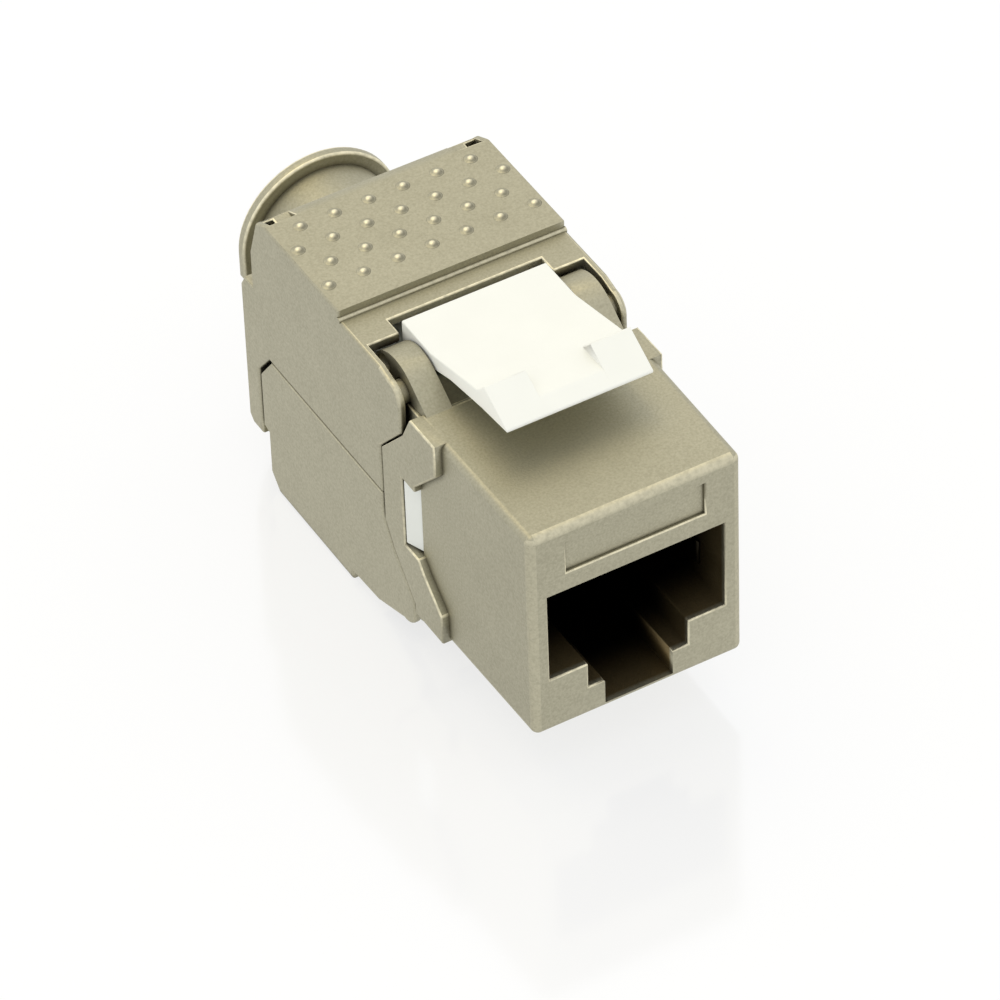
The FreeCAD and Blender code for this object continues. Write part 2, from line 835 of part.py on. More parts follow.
def terminal_blade(index, x, z):
    """A forked blade that bites the wire laid in its tower."""
    body = new_body("terminal_blade_%d" % (index + 1), x)
    fork = [
        ("terminal_front + past", z + " - tower_rise + blade_inset"),
        ("blade_shoulder", z + " - tower_rise + blade_inset"),
        ("blade_tip", z + " - mouth_half"),
        ("blade_throat", z + " - bite_half"),
        ("blade_root", z + " - bite_half"),
        ("blade_root", z + " + bite_half"),
        ("blade_throat", z + " + bite_half"),
        ("blade_tip", z + " + mouth_half"),
        ("blade_shoulder", z + " + tower_rise - blade_inset"),
        ("terminal_front + past", z + " + tower_rise - blade_inset"),
    ]
    pad(body, outline(new_sketch(body, "YZ"), *fork), "blade_thick", both_ways=True)
    return body


def wire_manager():
    """The white cap that carries the wires and is pushed over the towers as the jaws close."""
    body = new_body("wire_manager")
    side = [
        ("manager_front", "room_low + room_gap"),
        ("manager_waist", "room_low + room_gap"),
        ("manager_back", "cable_z - manager_bore - manager_wall"),
        ("manager_back", "cable_z + manager_bore + manager_wall"),
        ("manager_waist", "room_high - room_gap"),
        ("manager_front", "room_high - room_gap"),
    ]
    across(body, "manager_half", outline, *side)
    for way in ("1", "-1"):
        flank = [("manager_half", "manager_waist"), ("manager_neck", "manager_back"),
                 ("manager_neck", "manager_back + past"), ("manager_half + past", "manager_back + past"),
                 ("manager_half + past", "manager_waist")]
        cut(body, "XY", "0", "room_high + past", outline, *[("%s * (%s)" % (way, x), y) for x, y in flank])
    for row in ("upper_row_z", "lower_row_z"):
        cut_across(body, "terminal_half + fit", rectangle, "manager_front - past", "terminal_end + room_gap",
                   row + " - tower_rise - tower_gap", row + " + tower_rise + tower_gap")
    cut(body, "XZ", "manager_bore_front", "manager_back + past", circle, "0", "cable_z", "manager_bore")
    for x, z in terminal_places():
        cut(body, "XZ", "terminal_end", "wire_way_end", rectangle, x + " - wire_half", x + " + wire_half",
            z + " - wire_rise", z + " + wire_rise")
    return body


pieces = [front_housing(), upper_jaw(), lower_jaw(), release_latch(), contact_carrier(), circuit_board(),
          terminal_block(), wire_manager(), shield_spring("shield_spring_left", "-1"),
          shield_spring("shield_spring_right", "1")]
pieces += [port_contact(index) for index in range(CONTACTS)]
pieces += [terminal_blade(index, x, z) for index, (x, z) in enumerate(terminal_places())]
document.recompute()

for thing in document.Objects:
    if "Invalid" in thing.State or "Error" in thing.State:
        raise RuntimeError(thing.Label + " failed: " + str(thing.State))
os.makedirs("parts", exist_ok=True)
for piece in pieces:
    shape = piece.Shape
    if shape.isNull() or not shape.isValid() or len(shape.Solids) != 1:
        raise RuntimeError("%s has a bad shape: %d solids" % (piece.Label, len(shape.Solids)))
    shape.exportStep("parts/" + piece.Label + ".step")
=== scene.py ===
"""A shielded keystone jack, dressed for rendering in cast zinc, moulded plastic and plated bronze."""

import json
import math

import bmesh
import bpy
import numpy as np
from mathutils import Matrix, Vector
from mathutils.bvhtree import BVHTree

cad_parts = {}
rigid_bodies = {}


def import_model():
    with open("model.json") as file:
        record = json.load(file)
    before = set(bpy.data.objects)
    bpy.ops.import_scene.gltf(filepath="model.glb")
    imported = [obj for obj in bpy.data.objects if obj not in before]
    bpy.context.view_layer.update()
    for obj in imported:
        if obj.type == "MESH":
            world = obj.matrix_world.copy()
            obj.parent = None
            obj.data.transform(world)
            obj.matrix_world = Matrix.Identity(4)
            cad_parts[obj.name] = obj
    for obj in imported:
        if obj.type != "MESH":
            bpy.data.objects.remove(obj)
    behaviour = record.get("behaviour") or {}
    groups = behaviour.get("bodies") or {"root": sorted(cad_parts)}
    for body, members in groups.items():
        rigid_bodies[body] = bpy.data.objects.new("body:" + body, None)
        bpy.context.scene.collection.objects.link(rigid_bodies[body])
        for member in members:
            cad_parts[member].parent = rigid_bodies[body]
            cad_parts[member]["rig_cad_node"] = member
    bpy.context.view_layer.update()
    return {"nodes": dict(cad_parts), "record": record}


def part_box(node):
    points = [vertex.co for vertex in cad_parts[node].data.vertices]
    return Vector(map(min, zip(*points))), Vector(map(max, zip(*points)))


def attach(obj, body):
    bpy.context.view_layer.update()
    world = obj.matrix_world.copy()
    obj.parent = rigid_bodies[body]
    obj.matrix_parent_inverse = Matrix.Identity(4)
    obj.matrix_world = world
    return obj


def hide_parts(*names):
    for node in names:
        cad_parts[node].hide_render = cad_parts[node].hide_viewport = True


bl_info = {
    "name": "Keystone Jack",
    "version": (1, 0, 0),
    "blender": (4, 5, 0),
    "location": "3D View > Sidebar > Keystone Jack",
    "description": "Dresses a keystone jack with cast, moulded and plated finishes on a plain stage",
    "category": "Object",
}

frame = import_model()
MM = 0.001
FACE_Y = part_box("front_housing")[0].y
CARRIER_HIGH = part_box("contact_carrier")[1]
JAW_LOW, JAW_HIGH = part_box("upper_jaw")
MOUNTS = {mount["name"]: mount for mount in frame["record"]["mounts"]}
COLLAR = Vector(MOUNTS["cable_collar"]["pos_m"])
CONTACTS = [name for name in frame["nodes"] if name.startswith("port_contact_")]
BLADES = [name for name in frame["nodes"] if name.startswith("terminal_blade_")]

# The finish of each of the record's material slots, and two more finishes of cast zinc: one with painted
# shade in the socket, and one with painted highlights and shade on the grip domes.
FINISHES = {
    "cast_zinc": "sand_blasted_zinc",
    "latch_plastic": "white_latch_abs",
    "white_plastic": "off_white_terminal_pbt",
    "carrier_plastic": "black_carrier_pbt",
    "board": "green_lacquered_board",
    "contact_gold": "gold_plated_bronze",
    "blade_bronze": "tin_plated_bronze",
    "spring_steel": "tarnished_nickel_spring",
}
SOCKET_ZINC = "sand_blasted_zinc_with_painted_socket_shade"
DOMED_ZINC = "sand_blasted_zinc_with_worn_and_highlit_crowns"


def linear(hex_colour):
    """An sRGB hex colour as linear red, green, blue and a full alpha."""
    values = np.array([int(hex_colour[start:start + 2], 16) for start in (1, 3, 5)]) / 255
    curved = ((values + 0.055) / 1.055) ** 2.4
    return (*np.where(values <= 0.04045, values / 12.92, curved).tolist(), 1.0)


def darker(colour, share):
    """A colour scaled towards black, its alpha kept."""
    return (*(share * channel for channel in colour[:3]), 1.0)


# Settings


def length_property(name, description, mm):
    return bpy.props.FloatProperty(name=name, description=description, default=mm * MM, min=0, unit="LENGTH",
                                   precision=5)


def place_property(name, description, mm):
    return bpy.props.FloatVectorProperty(name=name, description=description, subtype="TRANSLATION",
                                         default=[value * MM for value in mm], precision=5)


def angle_property(name, description, degrees):
    return bpy.props.FloatProperty(name=name, description=description, default=math.radians(degrees),
                                   subtype="ANGLE")


def colour_property(name, description, hex_colour):
    return bpy.props.FloatVectorProperty(name=name, description=description, default=linear(hex_colour),
                                         size=4, min=0, max=1, subtype="COLOR")


def share_property(name, description, share):
    return bpy.props.FloatProperty(name=name, description=description, default=share, min=0, max=1,
                                   subtype="FACTOR")


class JackSizes(bpy.types.PropertyGroup):
    """Sizes that the castings and mouldings are finished to."""

    casting_edge: length_property("Casting edge", "Radius on the edges of the zinc castings", 0.12)
    joint_edge: length_property("Joint edge", "Radius on the edges where two castings shut together", 0.03)
    flange_edge: length_property("Flange edge", "Radius on the edges of the flange at the cable end", 0.3)
    flange_thickness: length_property("Flange thickness", "Thickness of the flange at the cable end", 0.8)
    moulding_edge: length_property("Moulding edge", "Radius on the edges of the plastic mouldings", 0.08)
    latch_edge: length_property("Latch edge", "Radius on the edges of the release latch", 0.1)
    grit: length_property("Blasting grit", "Spacing of the pits left by sand blasting", 0.16)
    dome_radius: length_property("Dome radius", "Radius of a grip dome at its foot", 0.46)
    dome_height: length_property("Dome height", "Height of a grip dome", 0.17)
    dome_pitch_x: length_property("Dome pitch across", "Between grip domes in a row", 2.38)
    dome_pitch_y: length_property("Dome pitch along", "Between the rows of grip domes", 1.89)
    dome_row: length_property("Dome row", "From the front face to the rearmost row of grip domes", 29.25)
    contact_width: length_property("Contact width", "Width of a socket contact", 0.35)
    contact_thickness: length_property("Contact thickness", "Thickness of a socket contact", 0.25)
    contact_bend: length_property("Contact bend", "Radius that a socket contact is bent to", 0.22)
    contact_tip: length_property("Contact tip", "From a socket contact's rear end to its free tip", 2.2)
    spring_thickness: length_property("Spring thickness", "Thickness of a shield spring", 0.15)


class JackColours(bpy.types.PropertyGroup):
    """Colours of the finishes."""

    zinc: colour_property("Zinc", "Sand-blasted zinc", "#BCB8A2")
    zinc_shade: colour_property("Zinc shade", "Darker patches in the blasted zinc", "#B2AE98")
    # Also the painted highlight on edges that face up and on the grip domes' crowns, besides wear.
    worn_and_highlit_zinc: colour_property("Worn zinc", "Zinc rubbed bright along its edges", "#F4EDD0")
    # The colour of the pits, and of the painted shade in gaps, in inner corners and on the grip domes'
    # flanks.
    pits_and_shade: colour_property("Crevice", "Blasting dust and tarnish in the corners", "#2E2718")
    # These two are painted shade inside the socket, brown at its mouth and nearly black further in.
    shade_at_socket_mouth: colour_property("Socket mouth", "Tarnished zinc just inside the socket", "#8A7A58")
    shade_deep_in_socket: colour_property("Socket depths", "Zinc deep in the socket", "#0D0B07")
    latch: colour_property("Latch", "White latch plastic", "#F8F8F1")
    block_plastic: colour_property("Block plastic", "Off-white terminal plastic", "#E4E6E1")
    carrier_plastic: colour_property("Carrier plastic", "Black contact carrier", "#17150F")
    board: colour_property("Board", "Lacquered circuit board", "#1C5A33")
    gold: colour_property("Gold", "Gold plating on the socket contacts", "#E2BE6A")
    tin: colour_property("Tin", "Tin plating on the wire terminals", "#CFCCC2")
    nickel: colour_property("Nickel", "Tarnished nickel on the shield springs", "#221F18")


class StageSettings(bpy.types.PropertyGroup):
    """The floor, the lights and the camera."""

    floor: colour_property("Floor", "Pale floor", "#FFFFFF")
    floor_glow: share_property("Floor glow", "How much of what the camera sees is the floor's own glow", 0.8)
    floor_mirror: share_property("Floor mirror", "How strongly the floor mirrors the jack", 0.08)
    dome_light: bpy.props.FloatProperty(name="Dome", description="Strength of the even light from all round",
                                        default=0.95, min=0)
    lamp_power: bpy.props.FloatProperty(name="Lamp", description="Power of the lamp above and behind",
                                        default=1.4, subtype="POWER")
    lamp_colour: colour_property("Lamp colour", "Colour of the lamp above and behind", "#FFE9A6")
    lamp_place: place_property("Lamp place", "Where the lamp hangs", (-100, 320, 850))
    lamp_size: length_property("Lamp size", "Side of the square lamp", 600)
    azimuth: angle_property("Azimuth", "Camera's turn round the jack", -28.822)
    elevation: angle_property("Elevation", "Camera's height above the horizon", 42.61)
    roll: angle_property("Roll", "Camera's lean", -2.195)
    distance: length_property("Distance", "From the camera to the point it looks at", 423.3)
    lens: bpy.props.FloatProperty(name="Lens", description="Focal length on a 36 mm sensor", default=252.0,
                                  subtype="DISTANCE_CAMERA")
    aim: place_property("Aim", "The point that the camera looks at", (-1.30, -5.43, 9.01))


SETTINGS = {"jack_sizes": JackSizes, "jack_colours": JackColours, "jack_stage": StageSettings}


# Materials

FACTOR, FIRST, SECOND, MIXED = 0, 6, 7, 2  # a colour Mix node's sockets
ROUNDED = "rounded_edge"  # a face attribute of the softened copies: 1 on a rounded edge, 0 on a flat face


def add_node(tree, kind, inputs=(), **attributes):
    """Adds a node with its attributes. An input given as a socket is linked to it, and any other is set."""
    node = tree.nodes.new(kind)
    for name, value in attributes.items():
        setattr(node, name, value)
    for key, value in dict(inputs).items():
        if isinstance(value, bpy.types.NodeSocket):
            tree.links.new(value, node.inputs[key])
        else:
            node.inputs[key].default_value = value
    return node


def pattern_scale(mm):
    """A pattern's scale on metre coordinates, from the size in millimetres that repeats."""
    return 1 / (mm * MM)


def new_material(name):
    """An empty node material and its tree."""
    material = bpy.data.materials.new(name)
    material.use_nodes = True
    material.node_tree.nodes.clear()
    return material, material.node_tree


def worn_and_highlit_edges(tree, place):
    """Wear and a painted highlight: 1 on a rounded edge that faces up, less on one that faces down, and 0 on
    a flat face.

    Hands and panels rub an edge unevenly, in lengths of about 0.4 mm.
    """
    edge = add_node(tree, "ShaderNodeAttribute", attribute_name=ROUNDED).outputs["Fac"]
    facing = add_node(tree, "ShaderNodeTexCoord").outputs["Normal"]
    height = add_node(tree, "ShaderNodeSeparateXYZ", {"Vector": facing}).outputs["Z"]
    # Painted highlight: edges that face up get more of it, as the light falls from above.
    upward = add_node(tree, "ShaderNodeMapRange", {"Value": height, "From Min": -0.1, "From Max": 0.5,
                                                   "To Min": 0.2, "To Max": 1.0}).outputs[0]
    lengths = add_node(tree, "ShaderNodeTexNoise",
                       {"Vector": place, "Scale": pattern_scale(0.4), "Detail": 3.0}).outputs["Fac"]
    uneven = add_node(tree, "ShaderNodeMapRange", {"Value": lengths, "From Min": 0.3, "From Max": 0.6,
                                                   "To Min": 0.45, "To Max": 1.0}).outputs[0]
    raised = add_node(tree, "ShaderNodeMath", {0: edge, 1: upward}, operation="MULTIPLY").outputs[0]
    return add_node(tree, "ShaderNodeMath", {0: raised, 1: uneven}, operation="MULTIPLY").outputs[0]


def worn_and_highlit_crowns(tree, place):
    """Wear and a painted highlight: 1 on the crown of a grip dome, and 0 from about half its height down."""
    height = add_node(tree, "ShaderNodeSeparateXYZ", {"Vector": place}).outputs["Z"]
    return add_node(tree, "ShaderNodeMapRange", {"Value": height, "From Min": JAW_HIGH.z - 0.08 * MM,
                                                 "From Max": JAW_HIGH.z - 0.02 * MM}).outputs[0]


def shaded_flanks(tree, most):
    """Painted shade: `most` on the sides of the grip domes that face the front right, else 0."""
    facing = add_node(tree, "ShaderNodeTexCoord").outputs["Normal"]
    turned = add_node(tree, "ShaderNodeVectorMath", {0: facing, 1: (0.5, -0.85, 0)},
                      operation="DOT_PRODUCT").outputs["Value"]
    return add_node(tree, "ShaderNodeMapRange", {"Value": turned, "From Min": 0.05, "From Max": 0.4,
                                                 "To Max": most}).outputs[0]


def shaded_corners(tree, mm, most):
    """Painted shade: `most` deep in a gap, about half of that in an inner corner and 0 in the open, over so
    many mm.
    """
    reach = add_node(tree, "ShaderNodeAmbientOcclusion", {"Distance": mm * MM}, samples=8).outputs["AO"]
    return add_node(tree, "ShaderNodeMapRange", {"Value": reach, "From Min": 0.85, "From Max": 0.2,
                                                 "To Max": most}).outputs[0]


def inside_socket(tree, place):
    """Where the socket's painted shade goes: 0 on the outside and on the socket's rounded rim, and 1 on its
    walls from half a millimetre in.

    The socket's walls lie in a box from the front face to behind the contact carrier. The depth into that
    box is the least distance to its sides. The box ends below at the block's underside, which is level with
    the upper jaw's lowest point.
    """
    rim, blend = 0.2 * MM, 0.25 * MM
    beside_carrier, behind_carrier = 0.6 * MM, 2 * MM
    wall = Vector((CARRIER_HIGH.x + beside_carrier, 0, CARRIER_HIGH.z + beside_carrier))
    low = Vector((-wall.x, FACE_Y, JAW_LOW.z))
    high = Vector((wall.x, CARRIER_HIGH.y + behind_carrier, wall.z))
    middle, half = (low + high) / 2, (high - low) / 2
    offset = add_node(tree, "ShaderNodeVectorMath", {0: place, 1: middle}, operation="SUBTRACT").outputs[0]
    reach = add_node(tree, "ShaderNodeVectorMath", {0: offset}, operation="ABSOLUTE").outputs[0]
    room = add_node(tree, "ShaderNodeVectorMath", {0: half, 1: reach}, operation="SUBTRACT").outputs[0]
    parts = add_node(tree, "ShaderNodeSeparateXYZ", {"Vector": room}).outputs
    beside = add_node(tree, "ShaderNodeMath", {0: parts["X"], 1: parts["Z"]}, operation="MINIMUM").outputs[0]
    nearest = add_node(tree, "ShaderNodeMath", {0: beside, 1: parts["Y"]}, operation="MINIMUM").outputs[0]
    return add_node(tree, "ShaderNodeMapRange",
                    {"Value": nearest, "From Min": rim, "From Max": rim + blend}).outputs[0]


def socket_shade(tree, place, pits, colours):
    """Painted shade in the socket, brown at its mouth and nearly black 4.5 mm in, speckled by the pits."""
    back = add_node(tree, "ShaderNodeSeparateXYZ", {"Vector": place}).outputs["Y"]
    depth = add_node(tree, "ShaderNodeMapRange",
                     {"Value": back, "From Min": FACE_Y, "From Max": FACE_Y + 4.5 * MM},
                     interpolation_type="SMOOTHSTEP").outputs[0]
    tarnish_and_shade = add_node(tree, "ShaderNodeMix", {FACTOR: depth, FIRST: tuple(colours.shade_at_socket_mouth),
                                               SECOND: tuple(colours.shade_deep_in_socket)},
                       data_type="RGBA").outputs[MIXED]
    return add_node(tree, "ShaderNodeMix", {FACTOR: pits, FIRST: tarnish_and_shade, SECOND: tuple(colours.shade_deep_in_socket)},
                    data_type="RGBA").outputs[MIXED]


def blasted_zinc(name, sizes, colours, domed=False, has_socket=False):
    """Die-cast zinc, sand-blasted.

    It gives an even, satin grey-gold with a fine grain that only shows close up, and a bright broken line on
    the edges, which is wear where hands and panels rub and a painted highlight where the edges face up.
    Painted shade darkens the corners and gaps, and deepens into the socket. On the grip domes the crowns get
    wear and a painted highlight, and their front right flanks get painted shade.
    """
    material, tree = new_material(name)
    place = add_node(tree, "ShaderNodeTexCoord").outputs["Object"]
    # The pits of real blasting grit are too fine to show, so they are drawn as coarse as this.
    grit = add_node(tree, "ShaderNodeTexNoise", {"Vector": place, "Scale": pattern_scale(sizes.grit / MM),
                                                 "Detail": 2.0, "Roughness": 0.6}).outputs["Fac"]
    # Castings cool unevenly, which leaves darker patches about 3 mm wide.
    cloud = add_node(tree, "ShaderNodeTexNoise",
                     {"Vector": place, "Scale": pattern_scale(3.0), "Detail": 3.0}).outputs["Fac"]
    finish = add_node(tree, "ShaderNodeMix",
                      {FACTOR: cloud, FIRST: tuple(colours.zinc), SECOND: tuple(colours.zinc_shade)},
                      data_type="RGBA").outputs[MIXED]
    pits = add_node(tree, "ShaderNodeMapRange", {"Value": grit, "From Min": 0.65, "From Max": 0.3,
                                                 "To Max": 0.14}).outputs[0]
    # Wear and a painted highlight: on the edges, and on the crowns of grip domes.
    worn_and_highlit = worn_and_highlit_crowns(tree, place) if domed else worn_and_highlit_edges(tree, place)
    # Painted shade: on the grip domes' front right flanks, and elsewhere in the gaps and inner corners.
    painted_shade = shaded_flanks(tree, 0.4) if domed else shaded_corners(tree, 0.6, 0.9)
    for share, colour in ((pits, colours.pits_and_shade), (worn_and_highlit, colours.worn_and_highlit_zinc), (painted_shade, colours.pits_and_shade)):
        finish = add_node(tree, "ShaderNodeMix", {FACTOR: share, FIRST: finish, SECOND: tuple(colour)},
                          data_type="RGBA").outputs[MIXED]
    # Painted shade that deepens into the socket, brown at its mouth and nearly black further in.
    if has_socket:
        tarnish_and_shade = socket_shade(tree, place, pits, colours)
        finish = add_node(tree, "ShaderNodeMix",
                          {FACTOR: inside_socket(tree, place), FIRST: finish, SECOND: tarnish_and_shade},
                          data_type="RGBA").outputs[MIXED]
    satin = add_node(tree, "ShaderNodeMapRange", {"Value": grit, "From Min": 0.3, "From Max": 0.7,
                                                  "To Min": 0.58, "To Max": 0.48}).outputs[0]
    pitted = add_node(tree, "ShaderNodeBump",
                      {"Height": grit, "Distance": 0.014 * MM, "Strength": 0.8}).outputs[0]
    shader = add_node(tree, "ShaderNodeBsdfPrincipled",
                      {"Base Color": finish, "Metallic": 1.0, "Roughness": satin, "Normal": pitted})
    add_node(tree, "ShaderNodeOutputMaterial", {"Surface": shader.outputs["BSDF"]})


def moulded_plastic(name, colour, roughness, painted_shade):
    """Injection-moulded ABS or PBT: a smooth low sheen, faint flow marks and a little painted grey shade in
    the corners.
    """
    material, tree = new_material(name)
    place = add_node(tree, "ShaderNodeTexCoord").outputs["Object"]
    # Flow marks run a few millimetres wide.
    flow = add_node(tree, "ShaderNodeTexNoise",
                    {"Vector": place, "Scale": pattern_scale(4.0), "Detail": 2.0}).outputs["Fac"]
    marks = add_node(tree, "ShaderNodeMapRange", {"Value": flow, "From Min": 0.35, "From Max": 0.65,
                                                  "To Max": 0.12}).outputs[0]
    finish = add_node(tree, "ShaderNodeMix",
                      {FACTOR: marks, FIRST: tuple(colour), SECOND: darker(colour, 0.8)},
                      data_type="RGBA").outputs[MIXED]
    # Painted shade in the gaps and inner corners.
    finish = add_node(tree, "ShaderNodeMix",
                      {FACTOR: shaded_corners(tree, 0.4, painted_shade), FIRST: finish, SECOND: darker(colour, 0.3)},
                      data_type="RGBA").outputs[MIXED]
    sheen = add_node(tree, "ShaderNodeMapRange",
                     {"Value": flow, "From Min": 0.3, "From Max": 0.7, "To Min": roughness - 0.05,
                      "To Max": roughness + 0.05}).outputs[0]
    # A spark-eroded mould leaves a skin finer than this, which is as coarse as it needs to be to show.
    skin = add_node(tree, "ShaderNodeTexNoise",
                    {"Vector": place, "Scale": pattern_scale(0.25), "Detail": 2.0}).outputs["Fac"]
    moulded = add_node(tree, "ShaderNodeBump", {"Height": skin, "Distance": 0.002 * MM}).outputs[0]
    shader = add_node(tree, "ShaderNodeBsdfPrincipled",
                      {"Base Color": finish, "Roughness": sheen, "IOR": 1.53, "Normal": moulded})
    add_node(tree, "ShaderNodeOutputMaterial", {"Surface": shader.outputs["BSDF"]})


def plated_metal(name, colour, roughness):
    """Plated spring strip: a bright metal with fine rolling marks, dulled in tarnished patches."""
    material, tree = new_material(name)
    place = add_node(tree, "ShaderNodeTexCoord").outputs["Object"]
    patches = add_node(tree, "ShaderNodeTexNoise",
                       {"Vector": place, "Scale": pattern_scale(0.8), "Detail": 3.0}).outputs["Fac"]
    tarnish_and_shade = add_node(tree, "ShaderNodeMapRange", {"Value": patches, "From Min": 0.45, "From Max": 0.75,
                                                    "To Max": 0.5}).outputs[0]
    finish = add_node(tree, "ShaderNodeMix",
                      {FACTOR: tarnish_and_shade, FIRST: tuple(colour), SECOND: darker(colour, 0.5)},
                      data_type="RGBA").outputs[MIXED]
    # Real rolling marks are finer than this, which is as coarse as they need to be to show.
    rolling = add_node(tree, "ShaderNodeTexNoise",
                       {"Vector": place, "Scale": pattern_scale(0.12), "Detail": 2.0}).outputs["Fac"]
    polish = add_node(tree, "ShaderNodeMapRange",
                      {"Value": rolling, "From Min": 0.3, "From Max": 0.7, "To Min": roughness - 0.06,
                       "To Max": roughness + 0.08}).outputs[0]
    rolled = add_node(tree, "ShaderNodeBump", {"Height": rolling, "Distance": 0.003 * MM}).outputs[0]
    shader = add_node(tree, "ShaderNodeBsdfPrincipled",
                      {"Base Color": finish, "Metallic": 1.0, "Roughness": polish, "Normal": rolled})
    add_node(tree, "ShaderNodeOutputMaterial", {"Surface": shader.outputs["BSDF"]})


def lacquered_board(name, colour):
    """Glass-fibre board under green lacquer: the half-millimetre weave shows faintly through a gloss coat."""
    material, tree = new_material(name)
    place = add_node(tree, "ShaderNodeTexCoord").outputs["Object"]
    weave = add_node(tree, "ShaderNodeTexWave",
                     {"Vector": place, "Scale": pattern_scale(0.5) / (2 * math.pi), "Distortion": 0.6},
                     bands_direction="DIAGONAL").outputs["Fac"]
    threads = add_node(tree, "ShaderNodeMath", {0: weave, 1: 0.35}, operation="MULTIPLY").outputs[0]
    finish = add_node(tree, "ShaderNodeMix",
                      {FACTOR: threads, FIRST: tuple(colour), SECOND: darker(colour, 0.6)},
                      data_type="RGBA").outputs[MIXED]
    gloss = add_node(tree, "ShaderNodeMapRange", {"Value": weave, "To Min": 0.28, "To Max": 0.36}).outputs[0]
    woven = add_node(tree, "ShaderNodeBump", {"Height": weave, "Distance": 0.004 * MM}).outputs[0]
    shader = add_node(tree, "ShaderNodeBsdfPrincipled",
                      {"Base Color": finish, "Roughness": gloss, "Normal": woven})
    add_node(tree, "ShaderNodeOutputMaterial", {"Surface": shader.outputs["BSDF"]})


# Copies of the solids with rounded edges

DOUBLE = 1e-3 * MM  # points nearer than this are one
FAINT_STEP = 0.03 * MM  # a step as low as this is levelled
FLAT = math.radians(0.3)  # faces that meet at less than this are one
SHARP = math.radians(28)  # an edge is rounded where its faces turn by more than this
STRAIGHT_ON = math.radians(145)  # two edges at a wider angle than this are one run
NARROW_NOTCH = math.radians(60)  # a notch cut into a face at less than this is a narrow one
ROOM_TAKEN = 0.4  # how much of the room beside an edge its rounding may take
LEAST_ROUNDING = 0.012 * MM  # an edge with less room than this stays sharp
SEAM_REACH = 0.3 * MM  # two castings shut together where they are no further apart
FILLET_BEND = (math.radians(4), math.radians(32))  # how far a fillet's strips turn from one to the next
FILLET_STRIP = 0.22 * MM  # a fillet's strips are narrower than this
ROUNDED_BY_FACE = np.array([0, 1, 0.45], np.float32)  # ROUNDED on a flat face, on a rounding and on a fillet
ROUNDING, FILLET = 1, 2  # the places of the last two


def angle_between(edge, other, vertex):
    """The angle at a vertex between two of its edges."""
    return (edge.other_vert(vertex).co - vertex.co).angle(other.other_vert(vertex).co - vertex.co)


def room_beside(edge):
    """How wide the rounding of an edge may be before it meets that of an edge beside it.

    That is the shorter of the two edges times the tangent of half the angle between them. An edge that
    carries nearly straight on isn't in the way, and a narrow notch cut into a face leaves no room at all.
    """
    room = math.inf
    for vertex in edge.verts:
        for other in vertex.link_edges:
            if other != edge and (turn := angle_between(edge, other, vertex)) < STRAIGHT_ON:
                room = min(room, min(edge.calc_length(), other.calc_length()) * math.tan(turn / 2))
        for corner in vertex.link_loops:
            beside = edge in (corner.edge, corner.link_loop_prev.edge)
            if beside and not corner.is_convex and corner.calc_angle() < NARROW_NOTCH:
                room = 0
    return room


def evened(widths):
    """Widths by edge, with each run of edges that carry nearly straight on brought to its narrowest."""
    leader = {edge: edge for edge in widths}

    def head(edge):
        while leader[edge] != edge:
            edge = leader[edge]
        return edge

    for edge in widths:
        for vertex in edge.verts:
            for other in vertex.link_edges:
                if other != edge and other in widths and angle_between(edge, other, vertex) >= STRAIGHT_ON:
                    leader[head(other)] = head(edge)
    narrowest = {}
    for edge, width in widths.items():
        narrowest[head(edge)] = min(width, narrowest.get(head(edge), math.inf))
    return {edge: narrowest[head(edge)] for edge in widths}


def is_fillet(face):
    """Whether a face is one of the narrow strips that a fillet in the solid is made of."""
    longest = max(edge.calc_length() for edge in face.edges)
    least, most = FILLET_BEND
    bends = [edge for edge in face.edges if edge.is_convex and least < edge.calc_face_angle(0) < most]
    narrow = face.calc_area() / longest < FILLET_STRIP
    return narrow and sum(edge.calc_length() for edge in bends) > 1.5 * longest


def tree_of(node):
    """A node's faces, sorted for finding the one that a line meets."""
    mesh = frame["nodes"][node].data
    return BVHTree.FromPolygons([vertex.co for vertex in mesh.vertices],
                                [tuple(face.vertices) for face in mesh.polygons])


def shuts_on(edge, tree):
    """Whether a face beside an edge has another piece close in front of it, a little way in from the edge."""
    inwards, off_face = 0.05 * MM, 1e-4 * MM
    middle = (edge.verts[0].co + edge.verts[1].co) / 2
    for face, beside in (edge.link_faces, reversed(edge.link_faces)):
        start = middle - inwards * beside.normal + off_face * face.normal
        if tree.ray_cast(start, face.normal, SEAM_REACH)[0]:
            return True
    return False


def merged_shape(node, press_to):
    """A node's shape with its flat faces whole again, and what stands above a height pressed flat."""
    shape = bmesh.new()
    shape.from_mesh(frame["nodes"][node].data)
    for vertex in shape.verts:
        if vertex.co.z > press_to - FAINT_STEP:
            vertex.co.z = press_to
    bmesh.ops.remove_doubles(shape, verts=shape.verts, dist=DOUBLE)
    bmesh.ops.dissolve_degenerate(shape, dist=DOUBLE, edges=shape.edges)
    bmesh.ops.dissolve_limit(shape, angle_limit=FLAT, verts=shape.verts, edges=shape.edges)
    shape.normal_update()
    return shape


